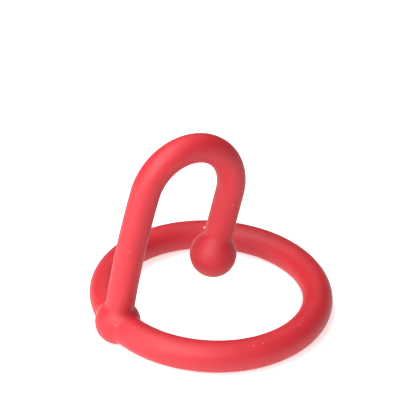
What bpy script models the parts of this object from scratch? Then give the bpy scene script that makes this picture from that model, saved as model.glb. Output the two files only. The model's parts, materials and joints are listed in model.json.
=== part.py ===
"""Soft ring with a ball-ended hook.

The ring lies in its own plane. A ball sits on the ring, a round rod rises from the ball, turns
over in a bow and comes down to a second ball above the middle of the ring. The ball stands proud
of the ring's underside, so the whole object rests slightly tilted on the ball and on the ring's
far side.

The real object is one soft moulding. Each member is a solid of its own here, and the three places
where the moulding gives most are ball-ended hinges: the ring's twist under the base ball, the neck
above that ball, and the top of the bow.
"""
import math

import bmesh
import bpy
from mathutils import Vector

# Driving dimensions, in metres and degrees
RING_BORE = 0.0300
RING_CORD = 0.0050
BASE_BALL = 0.0073
ROD = 0.0046
TIP_BALL = 0.0076
STEM_LENGTH = 0.0228
STEM_LEAN = 6.8
STEM_BEND = 9.2
BOW_RADIUS = 0.0080
BOW_TURN = 177.0
TIP_LEG = 0.0112
NECK_HEIGHT = 0.0054
GAP = 0.0003

# Derived sizes
RING_RADIUS = (RING_BORE + RING_CORD) / 2
RING_CORD_RADIUS = RING_CORD / 2
BASE_BALL_RADIUS = BASE_BALL / 2
TIP_BALL_RADIUS = TIP_BALL / 2
ROD_RADIUS = ROD / 2
STEM_CURVATURE = math.radians(STEM_BEND) / STEM_LENGTH
BOW_START = STEM_LENGTH
BOW_END = BOW_START + BOW_RADIUS * math.radians(BOW_TURN)
BOW_TOP = BOW_START + BOW_RADIUS * math.radians(90 - STEM_LEAN - STEM_BEND)
HOOK_END = BOW_END + TIP_LEG

# The base ball stands lower than the ring's cord, which tilts the ring about the Y axis
REST_TILT = math.asin((BASE_BALL_RADIUS - RING_CORD_RADIUS) / (2 * RING_RADIUS))
REST_HEIGHT = (BASE_BALL_RADIUS + RING_CORD_RADIUS) / 2
REST_SHIFT = (BASE_BALL_RADIUS - RING_CORD_RADIUS) / 2

# Smoothness of the solids
SIDES = 20
RING_STEPS = 72
CAP_STEPS = 5
BALL_STEPS = 12
STEP_LENGTH = 0.0018
SMOOTH_ANGLE = 40.0
POLE_RADIUS = 0.000003

SILICONE_RED = (0.62, 0.045, 0.055, 1.0)
SILICONE_ROUGHNESS = 0.55


def clear_scene():
    for thing in list(bpy.data.objects):
        bpy.data.objects.remove(thing, do_unlink=True)


def silicone(name):
    material = bpy.data.materials.new(name + "_silicone")
    material.use_nodes = True
    shader = material.node_tree.nodes["Principled BSDF"]
    shader.inputs["Base Color"].default_value = SILICONE_RED
    shader.inputs["Roughness"].default_value = SILICONE_ROUGHNESS
    shader.inputs["Metallic"].default_value = 0.0
    return material


# ---- The rod's centreline, in the ring's frame --------------------------------------------------

def heading_vector(heading):
    """Unit vector in the XZ plane, turned from +Z towards +X by the heading."""
    return Vector((math.sin(heading), 0, math.cos(heading)))


def along_arc(start, heading, curvature, length):
    """Point and heading after a length of arc in the XZ plane."""
    new_heading = heading + curvature * length
    across = (math.cos(heading) - math.cos(new_heading)) / curvature
    up = (math.sin(new_heading) - math.sin(heading)) / curvature
    return start + Vector((across, 0, up)), new_heading


def hook_at(distance):
    """Centre of the rod and its heading, a distance along it from the base ball's centre."""
    centre = Vector((-RING_RADIUS, 0, 0))
    heading = math.radians(STEM_LEAN)
    if distance <= BOW_START:
        return along_arc(centre, heading, STEM_CURVATURE, distance)
    centre, heading = along_arc(centre, heading, STEM_CURVATURE, BOW_START)
    centre, heading = along_arc(centre, heading, 1 / BOW_RADIUS, min(distance, BOW_END) - BOW_START)
    if distance > BOW_END:
        centre = centre + heading_vector(heading) * (distance - BOW_END)
    return centre, heading


# ---- Stations: cross-sections that a solid is swept through -------------------------------------

def section(distance, offset, radius):
    """A cross-section set off from a point of the rod along the rod's direction there."""
    centre, heading = hook_at(distance)
    return centre + heading_vector(heading) * offset, heading, radius


def rod_run(start, end):
    """Cross-sections of the plain rod between two distances."""
    steps = max(1, round((end - start) / STEP_LENGTH))
    return [section(start + (end - start) * i / steps, 0, ROD_RADIUS) for i in range(steps + 1)]


def ball_arc(distance, radius, first_angle, last_angle, steps):
    """Cross-sections of a ball centred on the rod; angles are from the forward direction."""
    angles = [first_angle + (last_angle - first_angle) * i / steps for i in range(steps + 1)]
    return [section(distance, radius * math.cos(a), radius * abs(math.sin(a))) for a in angles]


def rim_angle(ball_radius):
    """Angle at which a ball's surface meets the rod's surface."""
    return math.asin(ROD_RADIUS / ball_radius)


# ---- Solids ------------------------------------------------------------------------------------

def add_object(name, mesh, origin, parent):
    """An object whose own origin is at a point of the ring's frame."""
    for vertex in mesh.vertices:
        vertex.co -= origin
    mesh.shade_smooth()
    mesh.set_sharp_from_angle(angle=math.radians(SMOOTH_ANGLE))
    mesh.materials.append(silicone(name))
    thing = bpy.data.objects.new(name, mesh)
    bpy.context.scene.collection.objects.link(thing)
    place_under(thing, origin, parent)
    return thing


def place_under(thing, origin, parent):
    """Parent an object, keeping its origin at a point of the ring's frame."""
    thing["ring_frame_origin"] = origin
    parent_origin = Vector(parent["ring_frame_origin"]) if parent else Vector((0, 0, 0))
    thing.parent = parent
    thing.location = origin - parent_origin


def add_empty(name, origin, parent):
    empty = bpy.data.objects.new(name, None)
    empty.empty_display_size = ROD
    bpy.context.scene.collection.objects.link(empty)
    place_under(empty, origin, parent)
    return empty


def swept_mesh(name, stations):
    """Closed surface through round cross-sections; a section without width is a point."""
    shape = bmesh.new()
    loops = []
    side_axis = Vector((0, 1, 0))
    for centre, heading, radius in stations:
        if radius < POLE_RADIUS:
            loops.append([shape.verts.new(centre)])
            continue
        out_axis = heading_vector(heading + math.pi / 2)
        turns = [2 * math.pi * i / SIDES for i in range(SIDES)]
        loops.append([shape.verts.new(centre + radius * (out_axis * math.cos(t) + side_axis * math.sin(t)))
                      for t in turns])
    for loop, following in zip(loops, loops[1:]):
        join_loops(shape, loop, following)
    for end in (loops[0], loops[-1]):
        if len(end) > 1:
            shape.faces.new(end)
    bmesh.ops.recalc_face_normals(shape, faces=shape.faces)
    mesh = bpy.data.meshes.new(name)
    shape.to_mesh(mesh)
    shape.free()
    return mesh


def join_loops(shape, loop, following):
    """Faces between two cross-sections, either of which may be a single point."""
    for i in range(SIDES):
        j = (i + 1) % SIDES
        corners = [loop[i % len(loop)], loop[j % len(loop)]]
        corners += [following[j % len(following)], following[i % len(following)]]
        shape.faces.new(list(dict.fromkeys(corners)))


def make_ring(parent):
    """The ring, cut away round the base ball."""
    bpy.ops.mesh.primitive_torus_add(major_segments=RING_STEPS, minor_segments=SIDES,
                                     major_radius=RING_RADIUS, minor_radius=RING_CORD_RADIUS)
    pattern = bpy.context.object
    mesh = pattern.data
    bpy.data.objects.remove(pattern, do_unlink=True)
    ring = add_object("ring", mesh, Vector((0, 0, 0)), parent)

    centre, _ = hook_at(0)
    bpy.ops.mesh.primitive_uv_sphere_add(segments=2 * SIDES, ring_count=SIDES,
                                         radius=BASE_BALL_RADIUS + GAP)
    cutter = bpy.context.object
    cutter.name = "ball_clearance_cutter"
    cutter.hide_render = True
    cutter.display_type = "WIRE"
    place_under(cutter, centre, parent)

    cut = ring.modifiers.new("ball_clearance", "BOOLEAN")
    cut.operation = "DIFFERENCE"
    cut.solver = "EXACT"
    cut.object = cutter
    return ring


def make_base_ball(parent):
    """The ball on the ring, with the lower half of the neck and its rounded end."""
    centre, _ = hook_at(0)
    rim = rim_angle(BASE_BALL_RADIUS)
    stations = ball_arc(0, BASE_BALL_RADIUS, math.pi, rim, BALL_STEPS)
    stations += rod_run(BASE_BALL_RADIUS * math.cos(rim), NECK_HEIGHT)[1:]
    stations += ball_arc(NECK_HEIGHT, ROD_RADIUS, math.pi / 2, 0, CAP_STEPS)[1:]
    return add_object("base_ball", swept_mesh("base_ball", stations), centre, parent)


def socket_start(distance):
    """Cross-sections of a hollow that clears the rounded end of the rod at a hinge."""
    clear_radius = ROD_RADIUS + GAP
    rim = rim_angle(clear_radius)
    hollow = ball_arc(distance, clear_radius, 0, rim, CAP_STEPS)[:-1]
    return hollow, distance + clear_radius * math.cos(rim)


def make_stem(parent, origin):
    hollow, start = socket_start(NECK_HEIGHT)
    stations = hollow + rod_run(start, BOW_START - GAP / 2)
    return add_object("stem", swept_mesh("stem", stations), origin, parent)


def make_bow_rise(parent, origin):
    """The half of the bow that climbs from the stem to the top."""
    stations = rod_run(BOW_START + GAP / 2, BOW_TOP)
    stations += ball_arc(BOW_TOP, ROD_RADIUS, math.pi / 2, 0, CAP_STEPS)[1:]
    return add_object("bow_rise", swept_mesh("bow_rise", stations), origin, parent)


def make_bow_fall(parent, origin):
    """The half of the bow that comes down from the top to the tip leg."""
    hollow, start = socket_start(BOW_TOP)
    stations = hollow + rod_run(start, BOW_END - GAP / 2)
    return add_object("bow_fall", swept_mesh("bow_fall", stations), origin, parent)


def make_tip_leg(parent, origin):
    """The straight run down to the tip ball, hollowed to clear the ball."""
    clear_radius = TIP_BALL_RADIUS + GAP
    rim = math.pi - rim_angle(clear_radius)
    end = HOOK_END + clear_radius * math.cos(rim)
    stations = rod_run(BOW_END + GAP / 2, end)
    stations += ball_arc(HOOK_END, clear_radius, rim, math.pi, CAP_STEPS)[1:]
    return add_object("tip_leg", swept_mesh("tip_leg", stations), origin, parent)


def make_tip_ball(parent, origin):
    stations = ball_arc(HOOK_END, TIP_BALL_RADIUS, math.pi, 0, BALL_STEPS)
    return add_object("tip_ball", swept_mesh("tip_ball", stations), origin, parent)


def build():
    clear_scene()
    resting_pose = add_empty("resting_pose", Vector((0, 0, 0)), None)
    make_ring(resting_pose)
    base_ball = make_base_ball(resting_pose)

    neck, _ = hook_at(NECK_HEIGHT)
    neck_hinge = add_empty("neck_hinge", neck, base_ball)
    make_stem(neck_hinge, neck)
    make_bow_rise(neck_hinge, neck)

    top, _ = hook_at(BOW_TOP)
    bow_hinge = add_empty("bow_hinge", top, neck_hinge)
    make_bow_fall(bow_hinge, top)
    make_tip_leg(bow_hinge, top)
    make_tip_ball(bow_hinge, top)

    resting_pose.location = (REST_SHIFT, 0, REST_HEIGHT)
    resting_pose.rotation_euler = (0, REST_TILT, 0)


build()
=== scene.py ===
# %% [markdown]
# # A soft ring with a ball-ended hook
#
# The object is one moulding of red silicone: a closed ring, a ball on the ring, and a round rod
# that climbs from the ball, turns over in a bow and ends in a second ball over the ring's middle.
# The frame below brings the working model: its members, their sizes and the three places where the
# moulding bends. This lesson grows the finished skin over that frame, gives it the look of matte
# silicone, and lights it like a product on a white table.

# %% Load the frame
import json
import math

import bpy
from mathutils import Matrix, Vector


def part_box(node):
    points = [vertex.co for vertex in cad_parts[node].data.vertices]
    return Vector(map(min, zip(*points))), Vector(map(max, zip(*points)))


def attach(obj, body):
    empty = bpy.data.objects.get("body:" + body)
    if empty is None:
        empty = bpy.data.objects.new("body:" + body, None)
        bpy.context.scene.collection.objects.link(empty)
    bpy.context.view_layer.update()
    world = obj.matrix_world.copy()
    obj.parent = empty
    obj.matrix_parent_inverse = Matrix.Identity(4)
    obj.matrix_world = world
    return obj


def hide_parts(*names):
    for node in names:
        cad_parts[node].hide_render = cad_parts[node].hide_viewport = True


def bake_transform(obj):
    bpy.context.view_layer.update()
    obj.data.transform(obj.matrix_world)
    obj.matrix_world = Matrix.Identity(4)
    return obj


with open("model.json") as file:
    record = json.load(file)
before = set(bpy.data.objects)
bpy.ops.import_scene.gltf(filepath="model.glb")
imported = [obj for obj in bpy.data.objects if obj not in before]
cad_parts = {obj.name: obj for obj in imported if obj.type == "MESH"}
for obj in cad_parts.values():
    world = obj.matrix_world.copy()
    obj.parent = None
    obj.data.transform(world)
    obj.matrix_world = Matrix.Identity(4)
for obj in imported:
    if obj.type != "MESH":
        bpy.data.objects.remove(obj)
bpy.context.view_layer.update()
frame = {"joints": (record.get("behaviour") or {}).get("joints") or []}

# %% [markdown]
# The skin has to sit exactly where the frame is, so its sizes are read off the frame's members and
# not typed in again. A ball's width gives its radius. The ring's height is the cord's radius plus
# the base ball's radius, because the ring rests tilted on the ball and on its own far side.

# %% Sizes from the frame
def width_of(node, axis):
    """Width of one member along X (0), Y (1) or Z (2)."""
    low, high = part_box(node)
    return high[axis] - low[axis]


ROD_RADIUS = width_of("stem", 1) / 2
TIP_BALL_RADIUS = width_of("tip_ball", 1) / 2
BASE_BALL_RADIUS = width_of("base_ball", 1) / 2
CORD_RADIUS = width_of("ring", 2) - BASE_BALL_RADIUS
RING_RADIUS = width_of("ring", 1) / 2 - CORD_RADIUS

REST_TILT = math.asin((BASE_BALL_RADIUS - CORD_RADIUS) / (2 * RING_RADIUS))
RING_CENTRE = Vector(((BASE_BALL_RADIUS - CORD_RADIUS) / 2, 0, (BASE_BALL_RADIUS + CORD_RADIUS) / 2))
RESTING_POSE = Matrix.Translation(RING_CENTRE) @ Matrix.Rotation(REST_TILT, 4, "Y")

JOINTS = {joint["name"]: Vector(joint["pos_m"]) for joint in frame["joints"]}
print("rod, cord, balls, ring radius, mm:",
      [round(v * 1000, 3) for v in (ROD_RADIUS, CORD_RADIUS, BASE_BALL_RADIUS, TIP_BALL_RADIUS, RING_RADIUS)])

# %% [markdown]
# ## The camera
#
# The camera comes first, because every later choice is judged through it. A long lens from about
# 26 cm away keeps the small ring's ellipse calm. The camera is described the way a studio would note
# it down: what it aims at, from which side and height, how far off, and a degree of roll.

# %% Camera
CAMERA_AIM = Vector((0.0162, 0.0254, 0.0))
CAMERA_HEADING = math.radians(32.47)
CAMERA_HEIGHT_ANGLE = math.radians(32.44)
CAMERA_ROLL = math.radians(1.02)
CAMERA_DISTANCE = 0.2573
CAMERA_LENS = 120.0


def aimed_matrix(aim, heading, height_angle, roll, distance):
    """Camera matrix: heading is turned from +Y towards +X, height_angle is above the table."""
    forward = Vector((math.sin(heading) * math.cos(height_angle),
                      math.cos(heading) * math.cos(height_angle),
                      -math.sin(height_angle)))
    level = forward.cross(Vector((0, 0, 1))).normalized()
    above = level.cross(forward)
    right = level * math.cos(roll) + above * math.sin(roll)
    up = above * math.cos(roll) - level * math.sin(roll)
    turned = Matrix((right, up, -forward)).transposed().to_4x4()
    return Matrix.Translation(aim - forward * distance) @ turned


camera = bpy.data.objects.new("camera", bpy.data.cameras.new("camera"))
bpy.context.scene.collection.objects.link(camera)
camera.matrix_world = aimed_matrix(CAMERA_AIM, CAMERA_HEADING, CAMERA_HEIGHT_ANGLE, CAMERA_ROLL,
                                   CAMERA_DISTANCE)
camera.data.lens = CAMERA_LENS
camera.data.clip_start = 0.01
camera.data.clip_end = 20
bpy.context.scene.camera = camera
print("camera at, mm:", [round(v * 1000, 1) for v in camera.matrix_world.translation])

# %% [markdown]
# ## The hook's centreline
#
# The rod's centreline has three stretches: a stem that curves a little, a bow of constant radius and
# a straight leg. Each is an arc or a line, so a point at any distance along the rod comes from a
# formula. The six values repeat the frame's own curve. The printed misses compare the curve with the
# frame's hinge at the top of the bow and with the middle of its tip ball.

# %% The curve's values
STEM_LENGTH = 0.0228
STEM_LEAN = math.radians(6.8)
STEM_BEND = math.radians(9.2)
BOW_RADIUS = 0.0080
BOW_TURN = math.radians(177)
TIP_LEG = 0.0112

BOW_START = STEM_LENGTH
BOW_END = BOW_START + BOW_RADIUS * BOW_TURN
BOW_TOP = BOW_START + BOW_RADIUS * (math.pi / 2 - STEM_LEAN - STEM_BEND)
HOOK_END = BOW_END + TIP_LEG
print("rod's length from ball to ball, mm:", round(HOOK_END * 1000, 2))


# %% Points along the hook
def heading_vector(heading):
    """Unit vector in the hook's plane, turned from up towards the ring's far side."""
    return Vector((math.sin(heading), 0, math.cos(heading)))


def along_arc(start, heading, curvature, length):
    """Point and heading after a length of arc in the hook's plane."""
    new_heading = heading + curvature * length
    across = (math.cos(heading) - math.cos(new_heading)) / curvature
    up = (math.sin(new_heading) - math.sin(heading)) / curvature
    return start + Vector((across, 0, up)), new_heading


def hook_at(distance):
    """Centre of the rod in the ring's frame, a distance along it from the base ball's centre."""
    centre = Vector((-RING_RADIUS, 0, 0))
    centre, heading = along_arc(centre, STEM_LEAN, STEM_BEND / STEM_LENGTH, min(distance, BOW_START))
    if distance > BOW_START:
        bow_length = min(distance, BOW_END) - BOW_START
        centre, heading = along_arc(centre, heading, 1 / BOW_RADIUS, bow_length)
    if distance > BOW_END:
        centre = centre + heading_vector(heading) * (distance - BOW_END)
    return centre


def hook_point(distance):
    """The same point where the object rests."""
    return RESTING_POSE @ hook_at(distance)


print("bow's top, mm:", [round(v * 1000, 2) for v in hook_point(BOW_TOP)])

# %% Compare the curve with the frame
ball_low, ball_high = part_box("tip_ball")
top_miss = (hook_point(BOW_TOP) - JOINTS["bow_flex"]).length
ball_miss = (hook_point(HOOK_END) - (Vector(ball_low) + Vector(ball_high)) / 2).length
print("misses, mm: bow top", round(top_miss * 1000, 4), "tip ball", round(ball_miss * 1000, 4))

# %% [markdown]
# ## One rule for every member
#
# Every member of the moulding is a round section carried along a path, so Geometry Nodes make them
# all from one tree. The path is a row of points that carry the section's half-width, and the tree
# sweeps a circle along it. Sculpting the members by hand, or remeshing the shapes into one, would
# lose the even, clean rows of faces. A few helpers come first, because node trees take many calls.

# %% Helpers for node trees
def connect(tree, source, target, target_input):
    """Link a node's first output, or a given socket, to an input."""
    socket = source if isinstance(source, bpy.types.NodeSocket) else source.outputs[0]
    tree.links.new(socket, target.inputs[target_input])


def feed(tree, socket, operand):
    """Give an input a plain value, or link another node's socket to it."""
    if isinstance(operand, bpy.types.NodeSocket):
        tree.links.new(operand, socket)
    else:
        socket.default_value = operand


def math_node(tree, operation, *operands):
    """A Math node; each operand is a number or a socket."""
    node = tree.nodes.new("ShaderNodeMath")
    node.operation = operation
    for place, operand in enumerate(operands):
        feed(tree, node.inputs[place], operand)
    return node.outputs[0]


def vector_node(tree, operation, first, second=None, scale=None):
    """A Vector Math node, giving its vector or its number, whichever the operation makes."""
    node = tree.nodes.new("ShaderNodeVectorMath")
    node.operation = operation
    tree.links.new(first, node.inputs[0])
    if second is not None:
        tree.links.new(second, node.inputs[1])
    if scale is not None:
        tree.links.new(scale, node.inputs["Scale"])
    return node.outputs["Value"] if operation in ("DOT_PRODUCT", "LENGTH") else node.outputs["Vector"]


def new_tree(name, kind, inputs, outputs):
    """A node tree with named sockets, and its input and output nodes."""
    tree = bpy.data.node_groups.new(name, kind)
    for label, socket_type in inputs:
        tree.interface.new_socket(name=label, in_out="INPUT", socket_type=socket_type)
    for label, socket_type in outputs:
        tree.interface.new_socket(name=label, in_out="OUTPUT", socket_type=socket_type)
    return tree, tree.nodes.new("NodeGroupInput"), tree.nodes.new("NodeGroupOutput")


# %% Start the swept skin
skin_tree, skin_inputs, skin_output = new_tree(
    "swept skin", "GeometryNodeTree",
    [("Path", "NodeSocketGeometry"),
     ("Sides", "NodeSocketInt"),
     ("Ball Centre", "NodeSocketVector"),
     ("Ball Radius", "NodeSocketFloat"),
     ("Fillet", "NodeSocketFloat"),
     ("Weld Distance", "NodeSocketFloat"),
     ("Silicone", "NodeSocketMaterial")],
    [("Skin", "NodeSocketGeometry")])
print("inputs of the swept skin:", [socket.name for socket in skin_inputs.outputs if socket.name])

# %% [markdown]
# The sweep remembers, for each point of the skin, the point of the path that it belongs to. The next
# step needs that centre.

# %% Sweep a circle along the path
def swept_circle(tree, given):
    """A circle swept along the path; gives the sweep and each skin point's centre."""
    to_curve = tree.nodes.new("GeometryNodeMeshToCurve")
    connect(tree, given.outputs["Path"], to_curve, "Mesh")

    centre_of = tree.nodes.new("GeometryNodeCaptureAttribute")
    centre_of.capture_items.new("VECTOR", "Centre")
    connect(tree, to_curve, centre_of, "Geometry")
    connect(tree, tree.nodes.new("GeometryNodeInputPosition"), centre_of, "Centre")

    circle = tree.nodes.new("GeometryNodeCurvePrimitiveCircle")
    circle.inputs["Radius"].default_value = 1.0
    connect(tree, given.outputs["Sides"], circle, "Resolution")

    half_width = tree.nodes.new("GeometryNodeInputNamedAttribute")
    half_width.data_type = "FLOAT"
    half_width.inputs["Name"].default_value = "half_width"

    sweep = tree.nodes.new("GeometryNodeCurveToMesh")
    sweep.inputs["Fill Caps"].default_value = True
    connect(tree, centre_of.outputs["Geometry"], sweep, "Curve")
    connect(tree, circle.outputs["Curve"], sweep, "Profile Curve")
    connect(tree, half_width.outputs["Attribute"], sweep, "Scale")

    return sweep, centre_of.outputs["Centre"]


sweep, skin_centre = swept_circle(skin_tree, skin_inputs)
print("nodes for the sweep:", len(skin_tree.nodes))

# %% [markdown]
# A ball is moulded round the path in places. From each point of the centreline, the tree looks
# outwards along the section, finds where a ray that starts inside the ball leaves it, and takes the
# larger of the section and the ball. The maximum is a smooth one, and its reach is the moulded fillet.

# %% Swell the skin round a ball
def swollen_skin(tree, given, centre):
    """Where each point of the skin goes: the smooth larger of its section and the ball."""
    outward = vector_node(tree, "SUBTRACT", tree.nodes.new("GeometryNodeInputPosition").outputs[0], centre)
    section = vector_node(tree, "LENGTH", outward)
    direction = vector_node(tree, "NORMALIZE", outward)
    from_ball = vector_node(tree, "SUBTRACT", centre, given.outputs["Ball Centre"])
    along = vector_node(tree, "DOT_PRODUCT", from_ball, direction)
    off_squared = vector_node(tree, "DOT_PRODUCT", from_ball, from_ball)
    radius_squared = math_node(tree, "MULTIPLY", given.outputs["Ball Radius"], given.outputs["Ball Radius"])
    room = math_node(tree, "SUBTRACT", radius_squared, off_squared)
    room = math_node(tree, "MULTIPLY_ADD", along, along, room)
    reach = math_node(tree, "SQRT", math_node(tree, "MAXIMUM", room, 0.0))
    starts_inside = math_node(tree, "LESS_THAN", off_squared, radius_squared)
    ball_surface = math_node(tree, "MULTIPLY", math_node(tree, "SUBTRACT", reach, along), starts_inside)
    swollen = math_node(tree, "SMOOTH_MAX", section, ball_surface, given.outputs["Fillet"])
    return vector_node(tree, "ADD", centre, vector_node(tree, "SCALE", direction, scale=swollen))


skin_place = swollen_skin(skin_tree, skin_inputs, skin_centre)
print("nodes with the ball:", len(skin_tree.nodes))


# %% Move, weld and dress the skin
def finish_skin(tree, given, made, sweep, place):
    """Move the swept points where there is a ball, weld points that meet, as at a pole, and dress them."""
    swell = tree.nodes.new("GeometryNodeSetPosition")
    connect(tree, sweep, swell, "Geometry")
    connect(tree, place, swell, "Position")
    has_ball = tree.nodes.new("FunctionNodeCompare")
    has_ball.data_type = "FLOAT"
    has_ball.operation = "GREATER_THAN"
    connect(tree, given.outputs["Ball Radius"], has_ball, "A")
    has_ball.inputs["B"].default_value = 0.0
    connect(tree, has_ball, swell, "Selection")

    weld = tree.nodes.new("GeometryNodeMergeByDistance")
    connect(tree, swell, weld, "Geometry")
    connect(tree, given.outputs["Weld Distance"], weld, "Distance")
    realize = tree.nodes.new("GeometryNodeRealizeInstances")
    connect(tree, weld, realize, "Geometry")
    finish = tree.nodes.new("GeometryNodeSetMaterial")
    connect(tree, realize, finish, "Geometry")
    connect(tree, given.outputs["Silicone"], finish, "Material")
    connect(tree, finish, made, "Skin")


finish_skin(skin_tree, skin_inputs, skin_output, sweep, skin_place)
print("nodes of the swept skin:", len(skin_tree.nodes))

# %% [markdown]
# A tree is used through a modifier, whose inputs are set by the socket's identifier. The result is
# then copied to a plain mesh and the modifier goes, because the joints bend the points of a plain
# mesh. The flat ends, where one member meets the next, get sharp rims, so the round skin runs across
# the meeting without a change in its shading.

# %% Run a tree on a path
SHARP_RIM = math.radians(50)
SIDES = 96
WELD_DISTANCE = 2e-6


def path_object(name, points, half_widths):
    """A row of points joined by edges, each with the half-width of the section there."""
    mesh = bpy.data.meshes.new(name)
    mesh.from_pydata([tuple(p) for p in points], [(i, i + 1) for i in range(len(points) - 1)], [])
    mesh.attributes.new("half_width", "FLOAT", "POINT").data.foreach_set("value", half_widths)
    thing = bpy.data.objects.new(name, mesh)
    bpy.context.scene.collection.objects.link(thing)
    return thing


def run_tree(thing, tree, settings):
    """Evaluate a geometry tree on an object and keep its result as the object's plain mesh."""
    modifier = thing.modifiers.new("shape", "NODES")
    modifier.node_group = tree
    for item in tree.interface.items_tree:
        if item.in_out == "INPUT" and item.name in settings:
            modifier[item.identifier] = settings[item.name]
    bpy.context.view_layer.update()
    evaluated = thing.evaluated_get(bpy.context.evaluated_depsgraph_get())
    result = bpy.data.meshes.new_from_object(evaluated)
    result.name = thing.name
    thing.modifiers.remove(modifier)
    thing.data = result
    result.shade_smooth()
    result.set_sharp_from_angle(angle=SHARP_RIM)
    return thing


def member(name, points, half_widths, ball=None, ball_radius=0.0, fillet=0.0, sides=SIDES, silicone=None):
    """A finished member of the moulding."""
    thing = path_object(name, points, half_widths)
    settings = {"Sides": sides, "Ball Centre": ball or Vector((0, 0, 0)), "Ball Radius": ball_radius,
                "Fillet": fillet, "Weld Distance": WELD_DISTANCE, "Silicone": silicone or RED_SILICONE}
    run_tree(thing, skin_tree, settings)
    print(name, "faces:", len(thing.data.polygons))
    return thing


print("sides round a member:", SIDES)

# %% [markdown]
# ## The silicone
#
# Moulded silicone of this kind is coloured all through, matte and a little silky. Three things give
# it away: broad, soft highlights, a pale rim where the skin turns away from the eye, and fine dust,
# because silicone holds on to it. The colour drifts very slightly over the surface where pigment and
# skin thickness vary. Three shader groups hold the drift, the dust and the fine grain of the mould.
# The thick and the thin finish share them, and each has its own two tints.

# %% Helpers for shader nodes
def object_coordinates(tree):
    """Object coordinates, in metres, so a pattern sits on the object and not on the view."""
    return tree.nodes.new("ShaderNodeTexCoord").outputs["Object"]


def noise(tree, vector, scale, detail, roughness=0.5):
    """A Noise Texture at a scale that a socket gives."""
    node = tree.nodes.new("ShaderNodeTexNoise")
    node.inputs["Detail"].default_value = detail
    node.inputs["Roughness"].default_value = roughness
    connect(tree, vector, node, "Vector")
    connect(tree, scale, node, "Scale")
    return node.outputs["Fac"]


def remap(tree, value, low, high, new_low, new_high):
    """A Map Range node; each operand is a number or a socket."""
    node = tree.nodes.new("ShaderNodeMapRange")
    for label, operand in (("Value", value), ("From Min", low), ("From Max", high),
                           ("To Min", new_low), ("To Max", new_high)):
        feed(tree, node.inputs[label], operand)
    return node.outputs["Result"]


MIX_FACTOR = 0
MIX_FIRST_COLOUR = 6
MIX_SECOND_COLOUR = 7
MIX_COLOUR_OUT = 2


def mix_colour(tree, factor, first, second):
    """A Mix node for colours, whose sockets go by place because several share a name."""
    node = tree.nodes.new("ShaderNodeMix")
    node.data_type = "RGBA"
    for place, operand in ((MIX_FACTOR, factor), (MIX_FIRST_COLOUR, first), (MIX_SECOND_COLOUR, second)):
        feed(tree, node.inputs[place], operand)
    return node.outputs[MIX_COLOUR_OUT]


# %% Pigment drift, as a shader group
CLOUD_LOW = 0.35
CLOUD_HIGH = 0.65


def pigment_drift_group():
    """Base colour that drifts between two tints in soft clouds."""
    tree, given, made = new_tree(
        "pigment drift", "ShaderNodeTree",
        [("Tint A", "NodeSocketColor"), ("Tint B", "NodeSocketColor"), ("Cloud Scale", "NodeSocketFloat")],
        [("Color", "NodeSocketColor")])
    cloud = noise(tree, object_coordinates(tree), given.outputs["Cloud Scale"], detail=3.0)
    cloud = remap(tree, cloud, CLOUD_LOW, CLOUD_HIGH, 0.0, 1.0)
    colour = mix_colour(tree, cloud, given.outputs["Tint A"], given.outputs["Tint B"])
    connect(tree, colour, made, "Color")
    return tree


PIGMENT_DRIFT = pigment_drift_group()
print("shader group:", PIGMENT_DRIFT.name, len(PIGMENT_DRIFT.nodes), "nodes")

# %% [markdown]
# A Voronoi texture cuts space into cells. Each cell gets one speck at its middle, and a random number
# per cell decides whether that speck is there at all, so rare specks lie far apart and never in rows.

# %% Settled dust, as a shader group
FLECK_RARITY = 0.80
HAZE_RARITY = 0.70


def dust_group():
    """Mask of small specks: a few lone flecks among a finer, fainter haze."""
    tree, given, made = new_tree(
        "settled dust", "ShaderNodeTree",
        [("Fleck Scale", "NodeSocketFloat"), ("Fleck Size", "NodeSocketFloat"),
         ("Haze Scale", "NodeSocketFloat"), ("Haze Size", "NodeSocketFloat")],
        [("Flecks", "NodeSocketFloat"), ("Haze", "NodeSocketFloat")])
    where = object_coordinates(tree)
    for scale_name, size_name, rarity, result in (
            ("Fleck Scale", "Fleck Size", FLECK_RARITY, "Flecks"),
            ("Haze Scale", "Haze Size", HAZE_RARITY, "Haze")):
        cells = tree.nodes.new("ShaderNodeTexVoronoi")
        connect(tree, where, cells, "Vector")
        connect(tree, given.outputs[scale_name], cells, "Scale")
        speck = remap(tree, cells.outputs["Distance"], 0.0, given.outputs[size_name], 1.0, 0.0)
        pick = tree.nodes.new("ShaderNodeSeparateColor")
        connect(tree, cells.outputs["Color"], pick, "Color")
        chosen = math_node(tree, "GREATER_THAN", pick.outputs[0], rarity)
        connect(tree, math_node(tree, "MULTIPLY", speck, chosen), made, result)
    return tree


SETTLED_DUST = dust_group()
print("shader group:", SETTLED_DUST.name, len(SETTLED_DUST.nodes), "nodes")

# %% Mould grain, as a shader group
def mould_grain_group():
    """Height of the mould's fine grain, with a slower ripple under it."""
    tree, given, made = new_tree(
        "mould grain", "ShaderNodeTree",
        [("Grain Scale", "NodeSocketFloat"), ("Ripple Scale", "NodeSocketFloat"),
         ("Ripple Share", "NodeSocketFloat")],
        [("Height", "NodeSocketFloat"), ("Grain", "NodeSocketFloat")])
    where = object_coordinates(tree)
    grain = noise(tree, where, given.outputs["Grain Scale"], detail=2.0, roughness=0.6)
    ripple = noise(tree, where, given.outputs["Ripple Scale"], detail=2.0)
    height = math_node(tree, "MULTIPLY_ADD", ripple, given.outputs["Ripple Share"], grain)
    connect(tree, height, made, "Height")
    connect(tree, grain, made, "Grain")
    return tree


MOULD_GRAIN = mould_grain_group()
print("shader group:", MOULD_GRAIN.name, len(MOULD_GRAIN.nodes), "nodes")

# %% [markdown]
# The shader itself stays in the material. Sheen gives the pale rim that light brushing over a fine
# matte skin makes, and a little light travels under the surface, which keeps the shaded side warm
# instead of grey. Dust is paler and drier than the skin, so it changes colour and roughness together.

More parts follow.
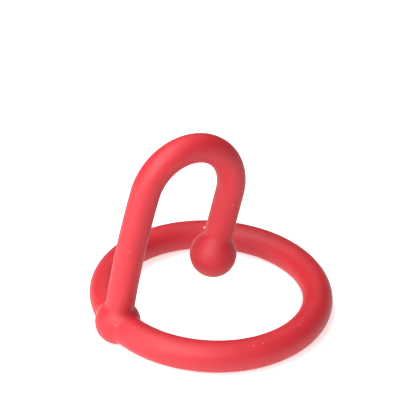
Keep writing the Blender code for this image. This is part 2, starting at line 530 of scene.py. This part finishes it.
# %% Values of the silicone
PIGMENT_LIGHT = (0.53, 0.018, 0.028, 1)
PIGMENT_DEEP = (0.49, 0.016, 0.025, 1)
THIN_LIGHT = (0.90, 0.42, 0.40, 1)
THIN_DEEP = (0.85, 0.34, 0.33, 1)
DUST_COLOUR = (0.80, 0.42, 0.40, 1)
SKIN_ROUGHNESS = (0.50, 0.60)
DUST_ROUGHNESS = 0.9
FLECK_SHARE = 0.55
HAZE_SHARE = 0.10
GRAIN_LOW = 0.3
GRAIN_HIGH = 0.7
BUMP_STRENGTH = 0.25
BUMP_DEPTH = 0.00003
SILICONE = {
    "IOR": 1.5,
    "Subsurface Weight": 0.12,
    "Subsurface Radius": (1.0, 0.25, 0.2),
    "Subsurface Scale": 0.0006,
    "Sheen Weight": 1.0,
    "Sheen Roughness": 0.15,
    "Sheen Tint": (1.0, 0.9, 0.9, 1),
}
print("values set on the shader:", list(SILICONE))


# %% The two silicone materials
def placed_group(tree, group, **values):
    """A shader group in a material; an input's name is written with underscores here."""
    node = tree.nodes.new("ShaderNodeGroup")
    node.node_tree = group
    for label, value in values.items():
        node.inputs[label.replace("_", " ")].default_value = value
    return node


def silicone_material(name, pigment_light, pigment_deep):
    """Silicone whose colour drifts between two tints, with dust and the mould's grain on it."""
    material = bpy.data.materials.new(name)
    material.use_nodes = True
    tree = material.node_tree
    shader = tree.nodes["Principled BSDF"]
    for label, value in SILICONE.items():
        shader.inputs[label].default_value = value

    pigment = placed_group(tree, PIGMENT_DRIFT, Tint_A=pigment_deep, Tint_B=pigment_light, Cloud_Scale=220.0)
    dust = placed_group(tree, SETTLED_DUST, Fleck_Scale=650.0, Fleck_Size=0.10,
                        Haze_Scale=3200.0, Haze_Size=0.14)
    grain = placed_group(tree, MOULD_GRAIN, Grain_Scale=8000.0, Ripple_Scale=800.0, Ripple_Share=0.6)

    dusty = math_node(tree, "MULTIPLY_ADD", dust.outputs["Haze"], HAZE_SHARE,
                      math_node(tree, "MULTIPLY", dust.outputs["Flecks"], FLECK_SHARE))
    colour = mix_colour(tree, dusty, pigment.outputs["Color"], DUST_COLOUR)
    connect(tree, colour, shader, "Base Color")

    skin_roughness = remap(tree, grain.outputs["Grain"], GRAIN_LOW, GRAIN_HIGH, *SKIN_ROUGHNESS)
    roughness = remap(tree, dusty, 0.0, 1.0, skin_roughness, DUST_ROUGHNESS)
    connect(tree, roughness, shader, "Roughness")

    bump = tree.nodes.new("ShaderNodeBump")
    bump.inputs["Strength"].default_value = BUMP_STRENGTH
    bump.inputs["Distance"].default_value = BUMP_DEPTH
    connect(tree, grain.outputs["Height"], bump, "Height")
    connect(tree, bump, shader, "Normal")
    return material


RED_SILICONE = silicone_material("red_silicone", PIGMENT_LIGHT, PIGMENT_DEEP)
THIN_SILICONE = silicone_material("thin_silicone", THIN_LIGHT, THIN_DEEP)
print("materials:", RED_SILICONE.name, "|", THIN_SILICONE.name)

# %% [markdown]
# ## The ring and its ball
#
# The ring is one closed cord, and near the ball it gives way to the ball through a fillet. When the
# hook is pushed, the cord on either side of the ball twists. So the cord is finished in stretches: the
# long loop stays with the ring, the middle goes with the ball, and a shoulder lies on each side
# between them.
#
# A flat end stands square to its first short step, which is a chord and not the curve itself. Left so,
# two members would meet at a slight angle, and a fine line would show. One more station, a hair inside
# each end, makes the end section stand square to the curve.

# %% Stations along a path
HAIR = 0.00001


def stations(start, end, step, hair):
    """Even stations from start to end, with one more a hair inside each end."""
    steps = max(2, round((end - start) / step))
    inner = [start + (end - start) * i / steps for i in range(1, steps)]
    return [start, start + hair] + inner + [end - hair, end]


print("stations on a 1 mm stretch in steps of 0.25 mm:", len(stations(0, 0.001, 0.00025, HAIR)))

# %% Stations along the ring
BASE_BALL_CENTRE = JOINTS["ring_twist"]
BALL_HALF = 0.0039
SHOULDER_END = 0.0115
RING_STEP = math.radians(0.9)
FINE_STEP = math.radians(0.35)
CORD_FILLET = 0.0008


def ring_point(angle):
    """Centre of the cord, at an angle round the ring from the base ball."""
    return RESTING_POSE @ Vector((-RING_RADIUS * math.cos(angle), RING_RADIUS * math.sin(angle), 0))


def ring_stretch(name, start, end, step):
    """A stretch of the cord between two angles, swollen round the base ball where it meets it."""
    points = [ring_point(angle) for angle in stations(start, end, step, HAIR / RING_RADIUS)]
    return member(name, points, [CORD_RADIUS] * len(points), BASE_BALL_CENTRE, BASE_BALL_RADIUS, CORD_FILLET)


print("ring's far side, mm:", [round(v * 1000, 2) for v in ring_point(math.pi)])

# %% Ring, shoulders and base ball
BALL_ANGLE = math.asin(BALL_HALF / RING_RADIUS)
SHOULDER_ANGLE = math.asin(SHOULDER_END / RING_RADIUS)

ring_loop = ring_stretch("ring_loop", SHOULDER_ANGLE, 2 * math.pi - SHOULDER_ANGLE, RING_STEP)
base_ball_skin = ring_stretch("base_ball_skin", -BALL_ANGLE, BALL_ANGLE, FINE_STEP)
left_shoulder = ring_stretch("left_shoulder", BALL_ANGLE, SHOULDER_ANGLE, FINE_STEP)
right_shoulder = ring_stretch("right_shoulder", -SHOULDER_ANGLE, -BALL_ANGLE, FINE_STEP)

# %% [markdown]
# ## The hook
#
# The stem starts inside the ball and comes out through a small fillet. Its skin follows the ball a
# hair's breadth below the surface until the fillet lifts it clear, so the crease at its foot stays
# tight. The bow is the same rod. The tip is turned about its own straight axis: the rod widens into
# the ball through a smooth maximum again, and the stations crowd together towards the pole so that
# the ball's end closes round.

# %% Stations along the hook
ROD_STEP = 0.00025
BALL_TURN_STEPS = 40
STEM_ROOT = 0.0019
UNDER_SURFACE = 0.00002
ROOT_FILLET = 0.0007
TIP_FILLET = 0.0011


def rod_stretch(start, end):
    """Stations along the rod, from one distance to another."""
    return stations(start, end, ROD_STEP, HAIR)


def smooth_larger(first, second, reach):
    """The larger of two numbers, with the corner between them rounded over a reach."""
    closeness = max(reach - abs(first - second), 0.0) / reach
    return max(first, second) + closeness ** 3 * reach / 6


def tip_half_width(distance):
    """Half-width of the tip leg and its ball."""
    off_centre = min(abs(distance - HOOK_END), TIP_BALL_RADIUS)
    ball = math.sqrt(TIP_BALL_RADIUS ** 2 - off_centre ** 2)
    return smooth_larger(ROD_RADIUS, ball, TIP_FILLET) if distance < HOOK_END else ball


print("tip ball's half-width at its middle, mm:", round(tip_half_width(HOOK_END) * 1000, 3))

# %% Stem, bow and tip
root_run = rod_stretch(STEM_ROOT, BOW_START)
stem_skin = member("stem_skin", [hook_point(s) for s in root_run], [ROD_RADIUS] * len(root_run),
                   BASE_BALL_CENTRE, BASE_BALL_RADIUS - UNDER_SURFACE, ROOT_FILLET)

bow_run = rod_stretch(BOW_START, BOW_END)
bow_skin = member("bow_skin", [hook_point(s) for s in bow_run], [ROD_RADIUS] * len(bow_run))

# The ball's own stations take over from the last two of the leg
tip_run = rod_stretch(BOW_END, HOOK_END - TIP_BALL_RADIUS)[:-2]
turn_step = math.pi / BALL_TURN_STEPS
tip_run += [HOOK_END - TIP_BALL_RADIUS * math.cos(turn_step * i) for i in range(BALL_TURN_STEPS + 1)]
tip_skin = member("tip_skin", [hook_point(s) for s in tip_run], [tip_half_width(s) for s in tip_run])

# %% [markdown]
# Liquid silicone pushes the air out of its mould through fine vents, and a little of it follows the
# air. When the part is pulled out, a pip the size of a grain of salt stays behind. One sits on the
# side of the tip leg, just above the ball. It is the same kind of swept member, less than a millimetre
# long, with its root sunk in the leg. Silicone this thin lets the light through, so the pip has a
# paler mix of the same finish.

# %% Vent pip
PIP_ABOVE_BALL = 0.0048
PIP_ROOT = -0.0003
PIP_HEIGHT = 0.0004
PIP_RADIUS = 0.0002
PIP_STEPS = 10
PIP_SIDES = 24
PIP_SIDE = Vector((-math.cos(CAMERA_HEADING), math.sin(CAMERA_HEADING), 0))


def pip_half_width(height):
    """A straight root and a rounded head."""
    return PIP_RADIUS * math.sqrt(max(0.0, 1 - max(0.0, height / PIP_HEIGHT) ** 2))


leg_surface = hook_point(HOOK_END - PIP_ABOVE_BALL) + PIP_SIDE * ROD_RADIUS
pip_heights = [PIP_ROOT] + [PIP_HEIGHT * math.sin(math.pi / 2 * i / PIP_STEPS) for i in range(PIP_STEPS + 1)]
vent_pip = member("vent_pip", [leg_surface + PIP_SIDE * h for h in pip_heights],
                  [pip_half_width(h) for h in pip_heights], sides=PIP_SIDES, silicone=THIN_SILICONE)

# %% [markdown]
# ## The table and the light
#
# A small product is shot on a white light table: a sheet that glows a little by itself, so that it
# burns out to white and drinks up the shadow. Only a faint contact shadow stays under the ring.
# Without the glow, the table would need so much light from above that the red would wash out. The
# camera sees more of the glow than the object gets, so the underside keeps its depth.

# %% Table
TABLE_HALF = 3.0
TABLE_WHITE = 0.9
TABLE_ROUGHNESS = 0.8
TABLE_GLOW = 0.32
TABLE_LOOK = 0.62


def table():
    """The white light table, level with the lowest point of the object."""
    mesh = bpy.data.meshes.new("table")
    corners = [(-TABLE_HALF, -TABLE_HALF, 0), (TABLE_HALF, -TABLE_HALF, 0),
               (TABLE_HALF, TABLE_HALF, 0), (-TABLE_HALF, TABLE_HALF, 0)]
    mesh.from_pydata(corners, [], [(0, 1, 2, 3)])
    material = bpy.data.materials.new("white_table")
    material.use_nodes = True
    tree = material.node_tree
    shader = tree.nodes["Principled BSDF"]
    shader.inputs["Base Color"].default_value = (TABLE_WHITE, TABLE_WHITE, TABLE_WHITE, 1)
    shader.inputs["Roughness"].default_value = TABLE_ROUGHNESS
    shader.inputs["Emission Color"].default_value = (1, 1, 1, 1)
    seen = tree.nodes.new("ShaderNodeLightPath").outputs["Is Camera Ray"]
    connect(tree, remap(tree, seen, 0.0, 1.0, TABLE_GLOW, TABLE_LOOK), shader, "Emission Strength")
    mesh.materials.append(material)
    thing = bpy.data.objects.new("table", mesh)
    bpy.context.scene.collection.objects.link(thing)
    return thing


table()
print("table's width, m:", 2 * TABLE_HALF)

# %% [markdown]
# The lights stand round the object as seen from the camera, and each is placed by its side, its height
# angle and its distance. The key light comes over the camera's left shoulder. A low strip on the left
# draws the bright edge of the stem, and a light high on the left brightens the tops. These three stand
# close, so the light falls off from the left of the ring to its right. Two weak far panels keep the
# shaded sides from going black. The room itself gives little light. It only looks white.

# %% Soft panels
def soft_light(name, side, height_angle, distance, width, height, power):
    """A soft panel; side is in degrees from the camera's side, with the camera's left negative."""
    turn = CAMERA_HEADING + math.radians(180 - side)
    rise = math.radians(height_angle)
    place = Vector((math.sin(turn) * math.cos(rise), math.cos(turn) * math.cos(rise), math.sin(rise)))
    light = bpy.data.lights.new(name, "AREA")
    light.shape = "RECTANGLE"
    light.size = width
    light.size_y = height
    light.energy = power
    thing = bpy.data.objects.new(name, light)
    thing.location = place * distance
    thing.rotation_mode = "QUATERNION"
    thing.rotation_quaternion = (-place).to_track_quat("-Z", "Y")
    bpy.context.scene.collection.objects.link(thing)


NEAR = 0.25
FAR = 0.9
soft_light("key_light", side=-30, height_angle=45, distance=NEAR, width=0.15, height=0.15, power=0.58)
soft_light("low_left_strip", side=-60, height_angle=14, distance=NEAR, width=0.16, height=0.10, power=0.19)
soft_light("high_left_light", side=-90, height_angle=72, distance=NEAR, width=0.15, height=0.15, power=0.42)
soft_light("right_fill", side=30, height_angle=45, distance=FAR, width=0.55, height=0.55, power=0.9)
soft_light("back_fill", side=180, height_angle=50, distance=FAR, width=0.55, height=0.55, power=1.1)

# %% White room
ROOM_LIGHT = 0.03
ROOM_LOOK = 1.0


def white_room():
    """World that lights the object a little and looks white behind it."""
    room = bpy.data.worlds.new("white_room")
    room.use_nodes = True
    tree = room.node_tree
    seen = tree.nodes.new("ShaderNodeLightPath").outputs["Is Camera Ray"]
    connect(tree, remap(tree, seen, 0.0, 1.0, ROOM_LIGHT, ROOM_LOOK), tree.nodes["Background"], "Strength")
    tree.nodes["Background"].inputs["Color"].default_value = (1, 1, 1, 1)
    return room


bpy.context.scene.world = white_room()
bpy.context.scene.view_settings.view_transform = "Standard"
bpy.context.scene.view_settings.look = "None"
print("world:", bpy.context.scene.world.name)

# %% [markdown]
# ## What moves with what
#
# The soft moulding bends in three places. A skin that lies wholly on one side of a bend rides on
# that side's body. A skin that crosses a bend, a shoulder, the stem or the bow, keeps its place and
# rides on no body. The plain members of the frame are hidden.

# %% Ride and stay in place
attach(ring_loop, "ring")
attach(base_ball_skin, "base_ball")
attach(tip_skin, "tip")
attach(vent_pip, "tip")

for shoulder, side in ((left_shoulder, 1), (right_shoulder, -1)):
    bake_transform(shoulder)

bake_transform(stem_skin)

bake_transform(bow_skin)

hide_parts("ring")
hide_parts("base_ball")
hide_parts("stem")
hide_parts("bow_rise", "bow_fall")
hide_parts("tip_leg", "tip_ball")
